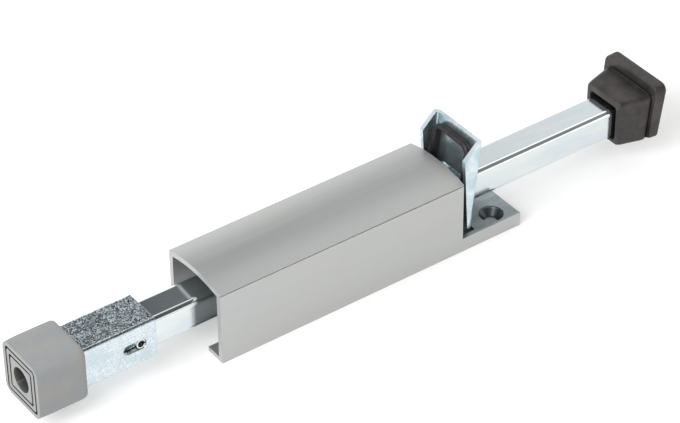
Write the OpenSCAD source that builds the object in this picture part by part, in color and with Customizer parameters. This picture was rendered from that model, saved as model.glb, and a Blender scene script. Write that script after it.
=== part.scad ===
// Foot operated door holder with a sprung plunger and a jamming release lever.
// It lies on the face that goes against the door: +Z points away from the door and
// +X runs up the door, towards the cap that the foot steps on.
// The origin is on the mounting face, midway between the two door screws.

/* [Housing] */
// Width of the extruded housing
housing_w = 36; // [35:0.5:40]
// Length of the full height part of the housing
housing_l = 120.5; // [116:0.5:135]
// Height of the straight side walls
side_h = 34.7; // [34:0.1:37]
// Rise of the arched top above the side walls
crown_h = 2.5; // [1.5:0.1:4]
// Thickness of the walls and of the arched top
wall_t = 2.4; // [1.8:0.1:2.6]
// Width of each inward lip, from the outer face
lip_w = 10; // [9:0.5:10]
// Thickness of the lips
lip_t = 2.2; // [1.8:0.1:2.4]
// Width of the fine groove along the top of each side
groove_w = 0.5; // [0.3:0.1:0.8]
// Depth of the fine groove
groove_d = 0.35; // [0.2:0.05:0.6]
// Distance of the groove below the upper edge of the side
groove_drop = 0.7; // [0.5:0.1:1.5]

/* [Screw tab] */
// Length of the low tab that carries the door screws
tab_l = 30.4; // [28:0.2:36]
// Height of the side walls along the tab
tab_h = 6.6; // [6.4:0.1:8]
// Thickness of the side walls along the tab
tab_wall_t = 1.2; // [1:0.1:1.3]
// Thickness of the base plate that lies in the tab
plate_t = 4.3; // [3.8:0.1:4.4]
// Length of base plate that reaches inside the housing
plate_in = 22; // [18:0.5:28]
// Distance of the door screws from the sides of the housing
hole_inset = 6.8; // [6.7:0.1:7]
// Diameter of the door screw holes
hole_d = 5.5; // [4.5:0.1:6]
// Diameter of the countersink for the screw head
head_d = 10.7; // [9:0.1:10.8]
// Depth of the straight part above the cone of the countersink
head_recess = 0.8; // [0.2:0.1:1]
// Distance from the screw holes to the free end of the tab
hole_to_end = 10.2; // [8:0.2:12]

/* [Plunger] */
// Width across the flats of the square plunger tube
tube_w = 14.5; // [13.5:0.1:14.8]
// Wall thickness of the plunger tube
tube_t = 1.5; // [1:0.1:1.7]
// Corner radius of the plunger tube
tube_r = 2.4; // [2:0.1:3]
// Height of the plunger axis above the mounting face
axis_h = 20.3; // [20:0.1:20.6]
// Travel of the plunger towards the floor
stroke = 60; // [50:1:60]
// Distance from the housing to the mouth of the cap, plunger up
cap_reach = 89.5; // [84:0.5:100]
// Distance from the housing to the foot sleeve, plunger up
foot_reach = 24.6; // [20:0.2:30]

/* [Guides and return spring] */
// Length of each plunger guide along the plunger
guide_l = 7; // [5:0.5:7.5]
// Distance from the upper end of the housing to the upper guide
upper_inset = 0.8; // [0.5:0.1:1]
// Thickness of the spring collar around the tube
collar_wall = 4.55; // [4.4:0.05:4.7]
// Length of the spring collar
collar_l = 5; // [4.5:0.1:5.2]
// Diameter of the pin that holds the collar on the tube
collar_pin_d = 3; // [2.5:0.1:3.2]
// Thickness of the rubber ring above the collar
bumper_t = 2.5; // [2:0.1:2.6]
// Thickness of the rubber ring around the tube
bumper_wall = 3.25; // [2:0.25:3.5]
// Wire diameter of the return spring
return_wire = 1.2; // [1:0.1:1.2]
// Distance of the return spring's outside below the edge of the collar
return_inset = 0.15; // [0:0.05:0.2]
// Turns of the return spring that open and close
return_turns = 7; // [5:0.5:7]
// Diameter of the small screws in the lips
lip_screw_d = 3; // [2.5:0.1:3.5]
// Head diameter of the small screws in the lips
lip_screw_head = 5.6; // [5:0.1:6]
// Distance of the small screws from the sides of the housing
lip_screw_inset = 6; // [5.5:0.1:6.5]
// Depth of the small screws above the lips
lip_screw_grip = 3.2; // [2.5:0.1:3.5]
// Diameter of the pegs under the upper guide
peg_d = 3; // [2:0.1:4]
// Distance between the two pegs
peg_spacing = 9; // [7:0.5:10]

/* [Release lever] */
// Play between the lever's flanges and the line of the housing's inner walls
lever_play = 0.3; // [0.2:0.1:0.6]
// Height of the lever above its pivot
lever_h = 45.3; // [43:0.1:50]
// Sheet thickness of the lever
lever_t = 2; // [1.5:0.1:2.2]
// Outer radius of the bends between web and flanges
lever_bend = 2.6; // [2.5:0.1:4]
// Lean of the lever while it grips the plunger
lever_lean = 6.5; // [6:0.1:7]
// Angle through which the lever is pressed to let the plunger go
lever_swing = 4.5; // [3:0.1:5]
// Distance of the web behind the line of the flange tips
web_back = 1.3; // [1.2:0.1:1.5]
// Depth of the flanges at their widest, from the outer face of the web
flange_depth = 8.9; // [8:0.1:9]
// Height at which the flanges are widest, above the pivot
flange_corner_h = 38; // [36:0.5:40]
// Height of the rounded flange tips above the pivot
flange_tip_h = 4.7; // [4.4:0.1:5]
// Wire diameter of the lever spring
bow_d = 3; // [2:0.1:3.2]
// Distance of each leg of the lever spring from the outside of the flange beside it
bow_inset = 4.7; // [4.3:0.1:5]
// Height of the bow of the lever spring above the pivot
bow_h = 41.5; // [38:0.5:43]
// Bend radius of the lever spring, to the middle of its wire
bow_bend = 4; // [3:0.5:6]
// Length of each straight foot of the lever spring
bow_foot = 6; // [5:0.1:6.2]
// Lean of the lever spring beyond the lean of the lever
bow_lean = 2; // [1:0.1:2.2]

/* [Foot] */
// Play between the tube and the foot sleeve
sleeve_play = 0.45; // [0.3:0.05:0.8]
// Wall thickness of the foot sleeve
sleeve_t = 2; // [1.6:0.1:2.2]
// Corner radius of the foot sleeve
sleeve_r = 1.6; // [1.2:0.1:2]
// Length of the sleeve between the housing side end and the pad
sleeve_l = 33.5; // [31:0.5:40]
// Depth of the sleeve inside the pad
sleeve_in = 12; // [9:0.5:14]
// Travel of the foot against its buffer spring
foot_travel = 6; // [4:0.5:6.5]
// Diameter of the cross pin that keeps the foot on the tube
cross_pin_d = 4.3; // [3:0.1:4.5]
// Distance from the end of the sleeve to the cross pin
cross_pin_inset = 7; // [6:0.1:9]
// Distance from the cross pin to the end of the tube
tube_past_pin = 17.6; // [15:0.2:20]
// Thickness of the rubber foot pad around the sleeve
pad_wall = 3.1; // [2.8:0.1:4]
// Length of the rubber foot pad
pad_l = 22.3; // [20:0.1:26]
// Corner radius of the foot pad
pad_r = 3.6; // [3:0.1:5]
// Diameter of the screw well in the face of the pad
well_d = 11; // [9:0.1:11.4]
// Depth of the screw well
well_depth = 8; // [5:0.1:8.2]
// Width of the two square grooves in the face of the pad
tread_w = 0.9; // [0.6:0.1:1.1]
// Depth of the two square grooves
tread_d = 1; // [0.6:0.1:1.5]
// Distance of the outer groove from the side of the pad
tread_outer = 2; // [1.6:0.1:2.2]
// Distance of the inner groove from the side of the pad
tread_inner = 4.6; // [4.2:0.1:5]
// Thread diameter of the screw that holds the pad
pad_screw_d = 3.5; // [3:0.1:3.6]
// Wire diameter of the buffer spring
buffer_wire = 1.1; // [0.9:0.1:1.2]
// Play between the buffer spring and the inside of the tube
buffer_play = 0.35; // [0.3:0.05:0.4]
// Turns of the buffer spring that open and close
buffer_turns = 7; // [5:0.5:8]
// Length of the seat that the buffer spring bears on
seat_l = 5; // [4:0.5:6]

/* [Step cap] */
// Length of the cap body from its mouth to the flange, along the bottom
cap_body_l = 12.3; // [12:0.1:18]
// Thickness of the rubber round the mouth
cap_wall = 2; // [1.2:0.1:2.2]
// Play between the tube and the sides of the mouth
mouth_side = 1.6; // [1:0.1:2]
// Play between the tube and the top of the mouth
mouth_top = 3; // [1.5:0.1:3.2]
// Play between the tube and the bottom of the mouth
mouth_bottom = 0.9; // [0.2:0.1:1]
// Depth of the wide mouth before the cap grips the tube
mouth_depth = 3.5; // [2:0.5:5]
// Depth of the tube inside the cap
cap_grip = 11; // [9:0.5:12]
// Width of the cap body where it meets the flange
cap_neck_w = 29.6; // [27:0.2:30]
// Width of the step flange
flange_w = 34.8; // [33:0.2:38]
// Height of the step flange
flange_h = 25.2; // [23:0.2:26]
// Height of the lower edge of the step flange above the mounting face
flange_z = 12.6; // [12:0.1:13.4]
// Thickness of the step flange along its bottom
flange_t = 4.8; // [4.4:0.1:6]
// Lean of the step face
step_lean = 9.3; // [8:0.1:13]
// Lean of the back of the flange
back_lean = 6.6; // [4:0.1:7]
// Corner radius of the step flange
flange_r = 3.4; // [2:0.1:4]

/* [Hidden] */
$fn = 64;

// Overshoot of a cut beyond the face that it opens
cut = 1;
// Gap between two pieces that bear on each other
seat_gap = 0.1;
// Gap between rubber or spring and what it bears on
soft_gap = 0.3;
// Play on each side of a sliding fit
slide_gap = 0.15;
// Play on each side of a fixed fit
fit_gap = 0.05;

// Length of the return spring with all its turns closed, and what is left over at full stroke
return_solid = (return_turns + 2) * return_wire;
stroke_spare = 0.45;

// Stations along the plunger, from the tab to the foot
tab_end = hole_to_end;
shell_top = tab_end - tab_l;
shell_end = shell_top - housing_l;
upper_guide_x1 = shell_top - upper_inset;
upper_guide_x0 = upper_guide_x1 - guide_l;
bumper_x1 = upper_guide_x0 - soft_gap;
bumper_x0 = bumper_x1 - bumper_t;
collar_x1 = bumper_x0 - fit_gap;
collar_x0 = collar_x1 - collar_l;
lower_guide_x1 = collar_x0 - stroke - return_solid - 2 * soft_gap - stroke_spare;
lower_guide_x0 = lower_guide_x1 - guide_l;
sleeve_x1 = shell_end - foot_reach;
cross_pin_x = sleeve_x1 - cross_pin_inset;
tube_x0 = cross_pin_x - tube_past_pin;
pad_x1 = sleeve_x1 - sleeve_l;
sleeve_x0 = pad_x1 - sleeve_in;
pad_x0 = pad_x1 - pad_l;

// Stations from the housing to the step face
mouth_x = shell_top + cap_reach;
tube_x1 = mouth_x + cap_grip;
neck_x = mouth_x + cap_body_l;

// Inside of the housing
inner_w = housing_w - 2 * wall_t;
slot_w = housing_w - 2 * lip_w;
hole_spacing = housing_w - 2 * hole_inset;
lip_screw_spacing = housing_w - 2 * lip_screw_inset;
crown_r = (housing_w * housing_w / 4 + crown_h * crown_h) / (2 * crown_h);
crown_z = side_h + crown_h - crown_r;
crown_sides = 180;
total_h = side_h + crown_h;

// Base plate, with a thin skin left under each pocket
plate_top = lip_t + plate_t;
plate_x0 = shell_top - plate_in;
plate_screw_inset = 5;
plate_screw_x = plate_x0 + plate_screw_inset;
pocket_skin = 0.8;
pocket_floor = lip_t + pocket_skin;
pocket_half_l = 3.4;
pocket_in = 1.6;

// Small screws through the lips into the two guides
lower_screw_x = (lower_guide_x0 + lower_guide_x1) / 2;
peg_x = (upper_guide_x0 + upper_guide_x1) / 2;

// Plunger parts. A pin stops a little short of both faces of the piece that it crosses.
tube_in = tube_w - 2 * tube_t;
tube_in_r = tube_r - tube_t;
collar_w = tube_w + 2 * collar_wall;
bumper_w = tube_w + 2 * bumper_wall;
return_r = (collar_w - return_wire) / 2 - return_inset;
pin_short = 0.3;
collar_r = 5;
collar_pin_x = (collar_x0 + collar_x1) / 2;
collar_pin_l = collar_w - 2 * pin_short;
bumper_r = tube_r + bumper_wall;
plug_l = 9;
plug_head_t = 2;
plug_head_w = tube_w - 2 * pin_short;

// Lever, and the point of its flange edge that is level with the top of the housing
lever_w = inner_w - 2 * lever_play;
toe_r = lever_t / 2;
pivot_z = pocket_floor + soft_gap + toe_r;
toe_in = 2.6;
toe_h = 6.2;
flange_top_depth = 2.8;
heel_rise = 12;
lean_s = sin(lever_lean);
lean_c = cos(lever_lean);
level_h = total_h - pivot_z;
level_share = (level_h - flange_tip_h) / (flange_corner_h - flange_tip_h);
level_x = -toe_r - (flange_depth - web_back - lever_t) * level_share;

// The pressed lever stops with that point just short of the housing
stop_gap = 0.2;
pressed_lean = lever_lean - lever_swing;
pivot_x = shell_top + stop_gap - level_x * cos(pressed_lean) - level_h * sin(pressed_lean);

// Window of the lever, which bites on the tube while the lever leans, with some space above the tube
window_play = 0.05;
window_over = 1.1;
window_w = tube_w + 2 * slide_gap;
window_r = 1.5;
tube_top = axis_h + tube_w / 2;
tube_bottom = axis_h - tube_w / 2;
window_z1 = (tube_top + window_over - pivot_z + lean_s * (web_back + lever_t / 2)) / lean_c;
window_z0 = (tube_bottom - window_play - pivot_z - lean_s * lever_t / 2) / lean_c;

// Lever spring
bow_w = lever_w - 2 * bow_inset;
bow_r = bow_d / 2;
bow_x = -lever_t / 2 - soft_gap - bow_r;
bow_foot_z = plate_top + seat_gap + bow_r;
bow_s = sin(lever_lean + bow_lean);
bow_c = cos(lever_lean + bow_lean);
bow_heel_rise = bow_bend * (1 - bow_s);
bow_foot_rise = bow_bend * (1 - bow_c) + bow_foot * bow_s;
bow_play = 0.2;

// Foot parts
sleeve_in_w = tube_w + 2 * sleeve_play;
sleeve_w = sleeve_in_w + 2 * sleeve_t;
pad_w = sleeve_w + 2 * pad_wall;
buffer_r = (tube_in - buffer_wire) / 2 - buffer_play;
slot_d = cross_pin_d + 2 * seat_gap;
cross_pin_l = sleeve_w - 2 * pin_short;
roll_bore = 0.7 * cross_pin_d;
roll_slit = 0.6;
seat_x1 = cross_pin_x - cross_pin_d / 2 - seat_gap;
seat_x0 = seat_x1 - seat_l;
spigot_l = 3;
spigot_play = 0.9;
spigot_d = 2 * buffer_r - buffer_wire - 2 * spigot_play;
sleeve_floor = sleeve_x0 + sleeve_t;
washer_t = 1;
washer_play = 0.4;
washer_d = well_d - 2 * washer_play;
washer_x1 = pad_x0 + well_depth - fit_gap;
washer_x0 = washer_x1 - washer_t;

// Head, cross recess and nut of the pad screw, in the usual proportions
pad_head_d = 2 * pad_screw_d;
pad_head_t = 0.65 * pad_screw_d;
drive_w = 0.28 * pad_screw_d;
drive_l = 1.1 * pad_screw_d;
nut_w = 1.75 * pad_screw_d;
nut_t = 0.8 * pad_screw_d;
screw_past_nut = 1;
pad_screw_hole = pad_screw_d + 4 * fit_gap;

// Springs: closed turns at each end keep this free gap to their neighbour
closed_gap = 0.5;
return_x0 = lower_guide_x1 + soft_gap + return_wire / 2;
return_x1 = collar_x0 - soft_gap - return_wire / 2;
buffer_x0 = sleeve_floor + soft_gap + buffer_wire / 2;
buffer_x1 = seat_x0 - soft_gap - buffer_wire / 2;
rings_per_turn = 8;
wire_sides = 6;

// Step cap
flange_taper = 0.5;
neck_rise = 1;
slice_t = 0.1;

// Colours of the materials
c_aluminium = "#bdbebb";
c_plate = "#858b8d";
c_zinc = "#d5dee2";
c_galvanised = "#a9b3b6";
c_spring = "#8f979b";
c_nylon = "#2f3133";
c_black = "#2b2829";
c_pad = "#9a9c98";

// A bar with a rounded square section, along X from x0 to x1
module square_bar(x0, x1, w, h, r, z = axis_h) {
    translate([x0, 0, z]) rotate([90, 0, 90]) linear_extrude(x1 - x0) rounded(w, h, r);
}

// A flat rounded rectangle, centred
module rounded(w, h, r) {
    square([w - 2 * r, h], center = true);
    square([w, h - 2 * r], center = true);
    for (sx = [-1, 1], sy = [-1, 1])
        translate([sx * (w / 2 - r), sy * (h / 2 - r)]) circle(r = r);
}

// A round bar along X from x0 to x1
module round_x(x0, x1, d) {
    translate([x0, 0, axis_h]) rotate([0, 90, 0]) cylinder(h = x1 - x0, d = d);
}

// A round bar along Y, centred on the middle plane
module round_y(x, l, d) {
    translate([x, 0, axis_h]) rotate([90, 0, 0]) cylinder(h = l, d = d, center = true);
}

// A round bar along Z from z0 to z1
module round_z(x, y, z0, z1, d) {
    translate([x, y, z0]) cylinder(h = z1 - z0, d = d);
}

// The same shape on both sides of the middle plane
module both_sides() {
    children();
    mirror([0, 1, 0]) children();
}

// Outline of the space inside the housing, above the lips, drawn in by a play
module inner_profile(play) {
    intersection() {
        translate([-inner_w / 2 + play, lip_t])
            square([inner_w - 2 * play, total_h]);
        translate([0, crown_z]) circle(r = crown_r - wall_t - play, $fn = crown_sides);
    }
}

// Section of the extrusion
module housing_profile() {
    difference() {
        intersection() {
            translate([-housing_w / 2, 0]) square([housing_w, total_h]);
            translate([0, crown_z]) circle(r = crown_r, $fn = crown_sides);
        }
        inner_profile(0);
        translate([-slot_w / 2, -cut]) square([slot_w, lip_t + 2 * cut]);
        for (side = [-1, 1])
            translate([side * housing_w / 2, side_h - groove_drop])
                square([2 * groove_d, groove_w], center = true);
    }
}

// The door screw holes, through all that lies between two heights
module door_screw_holes(z0, z1) {
    for (side = [-1, 1]) round_z(0, side * hole_spacing / 2, z0, z1, hole_d);
}

// A pair of small countersunk screws in the lips, with a play all round
module lip_screw_pair(x, play) {
    top = lip_t + lip_screw_grip + play;
    head_h = (lip_screw_head - lip_screw_d) / 2;
    for (side = [-1, 1]) {
        y = side * lip_screw_spacing / 2;
        round_z(x, y, head_h / 2, top, lip_screw_d + 2 * play);
        translate([x, y, 0])
            cylinder(h = head_h, d1 = lip_screw_head + 2 * play, d2 = lip_screw_d + 2 * play);
    }
}

module housing() {
    color(c_aluminium)
    difference() {
        translate([shell_end, 0, 0]) rotate([90, 0, 90])
            linear_extrude(housing_l + tab_l) housing_profile();
        translate([shell_top, -housing_w, tab_h])
            cube([tab_l + cut, 2 * housing_w, total_h]);
        translate([shell_top, -housing_w / 2 + tab_wall_t, lip_t])
            cube([tab_l + cut, housing_w - 2 * tab_wall_t, tab_h]);
        door_screw_holes(-cut, lip_t + cut);
        lip_screw_pair(plate_screw_x, fit_gap);
        lip_screw_pair(lower_screw_x, fit_gap);
    }
}

module base_plate() {
    tab_plate_w = housing_w - 2 * tab_wall_t - 2 * fit_gap;
    inner_plate_w = inner_w - 2 * fit_gap;
    cone_h = (head_d - hole_d) / 2;
    color(c_plate)
    difference() {
        union() {
            translate([plate_x0, -inner_plate_w / 2, lip_t])
                cube([tab_end - plate_x0, inner_plate_w, plate_t]);
            translate([shell_top + fit_gap, -tab_plate_w / 2, lip_t])
                cube([tab_l - fit_gap, tab_plate_w, plate_t]);
        }
        door_screw_holes(0, plate_top + cut);
        for (side = [-1, 1]) translate([0, side * hole_spacing / 2, 0]) {
            translate([0, 0, plate_top - head_recess])
                cylinder(h = head_recess + cut, d = head_d);
            translate([0, 0, plate_top - head_recess - cone_h])
                cylinder(h = cone_h, d1 = hole_d, d2 = head_d);
        }
        both_sides() lever_pocket();
        lip_screw_pair(plate_screw_x, fit_gap);
        for (side = [-1, 1])
            round_z(peg_x, side * peg_spacing / 2, -cut, plate_top + cut, peg_d + 2 * fit_gap);
    }
}

// Blind pocket that a foot of the lever stands in
module lever_pocket() {
    pocket_w = lever_t + toe_in + pocket_in;
    translate([pivot_x - pocket_half_l, lever_w / 2 + soft_gap - pocket_w, pocket_floor])
        cube([2 * pocket_half_l, pocket_w, plate_t]);
}

module plate_screws() {
    color(c_zinc) lip_screw_pair(plate_screw_x, 0);
}

module guide_screws() {
    color(c_zinc) lip_screw_pair(lower_screw_x, 0);
}

// Square hole for the tube through a piece between two stations
module tube_hole(x0, x1, play) {
    square_bar(x0 - cut, x1 + cut, tube_w + 2 * play, tube_w + 2 * play, tube_r + play);
}

module lower_guide() {
    tongue_w = slot_w - 2 * slide_gap;
    color(c_nylon)
    difference() {
        union() {
            translate([lower_guide_x0, 0, 0]) rotate([90, 0, 90])
                linear_extrude(guide_l) inner_profile(slide_gap);
            translate([lower_guide_x0, -tongue_w / 2, lip_t / 2])
                cube([guide_l, tongue_w, lip_t]);
        }
        tube_hole(lower_guide_x0, lower_guide_x1, slide_gap);
        lip_screw_pair(lower_screw_x, fit_gap);
    }
}

module upper_guide() {
    color(c_nylon) {
        difference() {
            translate([upper_guide_x0, 0, 0]) rotate([90, 0, 90])
                linear_extrude(guide_l) intersection() {
                    inner_profile(slide_gap);
                    translate([-inner_w, plate_top]) square([2 * inner_w, total_h]);
                }
            tube_hole(upper_guide_x0, upper_guide_x1, slide_gap);
            both_sides()
                translate([upper_guide_x0 - cut, bow_w / 2 - bow_r - bow_play, plate_top - cut])
                    cube([guide_l + 2 * cut, bow_d + 2 * bow_play,
                        bow_d + seat_gap + bow_foot_rise + bow_play + cut]);
        }
        for (side = [-1, 1])
            round_z(peg_x, side * peg_spacing / 2, lip_t + fit_gap, plate_top + fit_gap, peg_d);
    }
}

// Points of a coil along X. It turns from x0 to x1, with a closed turn at each end.
function coil_point(x0, x1, r, wire, turns, k) =
    let (total = turns + 2,
        turn = k / rings_per_turn,
        closed = wire + closed_gap,
        open = (x1 - x0 - 2 * closed) / turns,
        x = turn < 1 ? turn * closed
            : turn > total - 1 ? x1 - x0 - (total - turn) * closed
            : closed + (turn - 1) * open)
    [x0 + x, r * cos(360 * turn), r * sin(360 * turn)];

// One ring of the wire, square to the coil
function coil_ring(x0, x1, r, wire, turns, k) =
    let (here = coil_point(x0, x1, r, wire, turns, k),
        next = coil_point(x0, x1, r, wire, turns, k + 0.5),
        last = coil_point(x0, x1, r, wire, turns, k - 0.5),
        way = (next - last) / norm(next - last),
        out = [0, here[1], here[2]] / r,
        side = cross(way, out),
        up = side / norm(side),
        flat = cross(up, way))
    [for (j = [0 : wire_sides - 1])
        let (a = 360 * j / wire_sides) here + wire / 2 * (cos(a) * flat + sin(a) * up)];

// Least gap between a coil's wire and itself, one turn on
function coil_gap(x0, x1, r, wire, turns) =
    let (n = (turns + 2) * rings_per_turn,
        p = [for (k = [0 : n]) coil_point(x0, x1, r, wire, turns, k)])
    min([for (i = [0 : n - 5], j = [i + 5 : min(n, i + 11)]) norm(p[j] - p[i])]) - wire;

// A coil spring as one unbroken tube
module coil(x0, x1, r, wire, turns) {
    n = (turns + 2) * rings_per_turn;
    points = [for (k = [0 : n]) each coil_ring(x0, x1, r, wire, turns, k)];
    function at(k, j) = k * wire_sides + j % wire_sides;
    walls = [for (k = [0 : n - 1], j = [0 : wire_sides - 1])
        each [[at(k, j), at(k, j + 1), at(k + 1, j + 1)],
            [at(k, j), at(k + 1, j + 1), at(k + 1, j)]]];
    ends = [for (j = [1 : wire_sides - 2])
        each [[at(0, 0), at(0, j + 1), at(0, j)], [at(n, 0), at(n, j), at(n, j + 1)]]];
    echo(least_gap_of_coil = coil_gap(x0, x1, r, wire, turns));
    translate([0, 0, axis_h]) polyhedron(points, concat(walls, ends));
}

module return_spring() {
    color(c_spring) coil(return_x0, return_x1, return_r, return_wire, return_turns);
}

module buffer_spring() {
    color(c_spring) coil(buffer_x0, buffer_x1, buffer_r, buffer_wire, buffer_turns);
}

// Puts a shape that is drawn upright on the lever's pivot at its resting lean
module on_pivot() {
    translate([pivot_x, 0, pivot_z]) rotate([0, lever_lean, 0]) children();
}

// Bow that leans on the web, with two legs that turn in under the upper guide.
// The lower end of the legs is rounded up to a whole step.
module lever_spring() {
    leg_z1 = bow_h - bow_bend;
    leg_step = 0.05;
    leg_z0 = leg_step * ceil((bow_foot_z + bow_heel_rise - pivot_z + bow_x * lean_s) / lean_c / leg_step);
    color(c_black)
    on_pivot() translate([bow_x, 0, leg_z0]) rotate([0, bow_lean, 0]) translate([0, 0, -leg_z0]) {
        translate([0, 0, bow_h]) rotate([90, 0, 0])
            cylinder(h = bow_w - 2 * bow_bend, r = bow_r, center = true);
        both_sides() {
            translate([0, bow_w / 2 - bow_bend, leg_z1]) rotate([90, 0, 90])
                rotate_extrude(angle = 90) translate([bow_bend, 0]) circle(r = bow_r);
            translate([0, bow_w / 2, leg_z0]) {
                cylinder(h = leg_z1 - leg_z0, r = bow_r);
                bow_heel();
            }
        }
    }
}

// Lower bend of a leg and the straight foot that follows it
module bow_heel() {
    translate([-bow_bend, 0, 0]) {
        rotate([-90, 0, 0]) rotate_extrude(angle = 90)
            translate([bow_bend, 0]) circle(r = bow_r);
        translate([-bow_foot, 0, -bow_bend]) rotate([0, 90, 0])
            cylinder(h = bow_foot, r = bow_r);
    }
}

// Side view of the lever: web, flange with its cut corner, and the narrow tip
module lever_side(front) {
    tip_r = lever_t / 2;
    back = tip_r + web_back;
    intersection() {
        union() {
            polygon([
                [tip_r, flange_tip_h],
                [back, flange_tip_h + heel_rise],
                [back, lever_h],
                [back - flange_top_depth, lever_h],
                [back - flange_depth, flange_corner_h],
                [-tip_r, flange_tip_h]
            ]);
            translate([0, flange_tip_h]) circle(r = tip_r);
        }
        translate([back - front, 0]) square([front, lever_h]);
    }
}

module lever() {
    color(c_zinc) on_pivot() difference() {
        union() {
            lever_sheet();
            both_sides() lever_toe();
        }
        translate([0, 0, (window_z0 + window_z1) / 2]) rotate([90, 0, 90])
            linear_extrude(2 * flange_depth, center = true)
                rounded(window_w, window_z1 - window_z0, window_r);
    }
}

// The bent sheet: web, round bends and the two flanges
module lever_sheet() {
    back = lever_t / 2 + web_back;
    inner_bend = lever_bend - lever_t;
    intersection() {
        translate([0, lever_w / 2, 0]) rotate([90, 0, 0])
            linear_extrude(lever_w) lever_side(flange_depth);
        linear_extrude(lever_h) difference() {
            translate([back - flange_depth, 0]) channel(flange_depth, lever_w, lever_bend);
            translate([back - lever_t - flange_depth, 0])
                channel(flange_depth, lever_w - 2 * lever_t, inner_bend);
        }
    }
}

// A block from x = 0 to depth whose two corners on the far side are round
module channel(depth, w, r) {
    translate([0, -w / 2]) square([depth - r, w]);
    translate([0, -w / 2 + r]) square([depth, w - 2 * r]);
    for (side = [-1, 1]) translate([depth - r, side * (w / 2 - r)]) circle(r = r);
}

// Foot beside the flange tip, rounded where it rocks in its pocket
module lever_toe() {
    y0 = lever_w / 2 - lever_t - toe_in;
    translate([-toe_r, y0, 0]) cube([lever_t, toe_in, toe_h]);
    translate([0, y0 + toe_in, 0]) rotate([90, 0, 0]) cylinder(h = toe_in, r = toe_r);
}

module plunger_tube() {
    color(c_zinc)
    difference() {
        square_bar(tube_x0, tube_x1, tube_w, tube_w, tube_r);
        square_bar(tube_x0 - cut, tube_x1 + cut, tube_in, tube_in, tube_in_r);
        round_y(cross_pin_x, 2 * tube_w, cross_pin_d + 2 * fit_gap);
        round_y(collar_pin_x, 2 * tube_w, collar_pin_d + 2 * fit_gap);
    }
}

module spring_collar() {
    color(c_spring)
    difference() {
        square_bar(collar_x0, collar_x1, collar_w, collar_w, collar_r);
        tube_hole(collar_x0, collar_x1, fit_gap);
        round_y(collar_pin_x, 2 * collar_w, collar_pin_d + 2 * fit_gap);
    }
}

module collar_pin() {
    color(c_zinc) round_y(collar_pin_x, collar_pin_l, collar_pin_d);
}

module bumper_ring() {
    color(c_black)
    difference() {
        square_bar(bumper_x0, bumper_x1, bumper_w, bumper_w, bumper_r);
        tube_hole(bumper_x0, bumper_x1, fit_gap);
    }
}

module cap_plug() {
    color(c_nylon) {
        square_bar(tube_x1 - plug_l, tube_x1 + plug_head_t, tube_in - 2 * fit_gap,
            tube_in - 2 * fit_gap, tube_in_r - fit_gap);
        square_bar(tube_x1 + fit_gap, tube_x1 + plug_head_t, plug_head_w, plug_head_w, tube_r);
    }
}

// A thin rounded slice across the plunger, leaning back by an angle
module slice(x, z0, w, h, r, lean) {
    translate([x, 0, z0]) rotate([0, lean, 0]) translate([0, 0, h / 2])
        rotate([90, 0, 90]) linear_extrude(slice_t) rounded(w, h, r);
}

module step_cap() {
    mouth_w = tube_w + 2 * mouth_side;
    mouth_h = tube_w + mouth_top + mouth_bottom;
    mouth_z = axis_h + (mouth_top - mouth_bottom) / 2;
    mouth_r = tube_r;
    body_w = mouth_w + 2 * cap_wall;
    body_h = mouth_h + 2 * cap_wall;
    body_z = mouth_z - body_h / 2;
    body_r = mouth_r + cap_wall;
    color(c_black)
    difference() {
        union() {
            hull() {
                slice(mouth_x, body_z, body_w, body_h, body_r, 0, $fn = 32);
                slice(neck_x, body_z, cap_neck_w, body_h + neck_rise, body_r, back_lean, $fn = 32);
            }
            hull() {
                slice(neck_x, flange_z, flange_w - 2 * flange_taper, flange_h, flange_r, back_lean,
                    $fn = 32);
                slice(neck_x + flange_t, flange_z, flange_w, flange_h, flange_r, step_lean, $fn = 32);
            }
        }
        square_bar(mouth_x - cut, mouth_x + mouth_depth, mouth_w, mouth_h, mouth_r, mouth_z);
        square_bar(mouth_x, tube_x1 + plug_head_t + fit_gap, tube_w + 2 * fit_gap,
            tube_w + 2 * fit_gap, tube_r + fit_gap);
    }
}

module spring_seat() {
    seat_w = tube_in - 2 * slide_gap;
    color(c_nylon) {
        square_bar(seat_x0, seat_x1, seat_w, seat_w, tube_in_r);
        round_x(seat_x0 - spigot_l, seat_x0 + fit_gap, spigot_d);
    }
}

module cross_pin() {
    color(c_zinc)
    difference() {
        round_y(cross_pin_x, cross_pin_l, cross_pin_d);
        round_y(cross_pin_x, 2 * cross_pin_l, roll_bore);
        translate([cross_pin_x, -cross_pin_l, axis_h - roll_slit / 2])
            cube([cross_pin_d, 2 * cross_pin_l, roll_slit]);
    }
}

// Slot through both sides of the sleeve. The pin stands at its upper end at rest.
module sleeve_slot() {
    slot_x1 = cross_pin_x + fit_gap;
    slot_x0 = slot_x1 - foot_travel - 2 * fit_gap;
    round_y(slot_x1, 2 * sleeve_w, slot_d);
    round_y(slot_x0, 2 * sleeve_w, slot_d);
    translate([slot_x0, -sleeve_w, axis_h - slot_d / 2])
        cube([slot_x1 - slot_x0, 2 * sleeve_w, slot_d]);
}

module foot_sleeve() {
    color(c_galvanised)
    difference() {
        square_bar(sleeve_x0, sleeve_x1, sleeve_w, sleeve_w, sleeve_r);
        square_bar(sleeve_floor, sleeve_x1 + cut, sleeve_in_w, sleeve_in_w, sleeve_r / 2);
        sleeve_slot();
        round_x(sleeve_x0 - cut, sleeve_floor + cut, pad_screw_hole);
    }
}

// Square groove in the face of the pad, a given distance from its sides
module tread_groove(inset) {
    outer_w = pad_w - 2 * inset;
    inner_w = outer_w - 2 * tread_w;
    inner_r = max(pad_r - inset, tread_w);
    difference() {
        square_bar(pad_x0 - cut, pad_x0 + tread_d, outer_w, outer_w, inner_r + tread_w);
        square_bar(pad_x0 - 2 * cut, pad_x0 + tread_d + cut, inner_w, inner_w, inner_r);
    }
}

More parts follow.
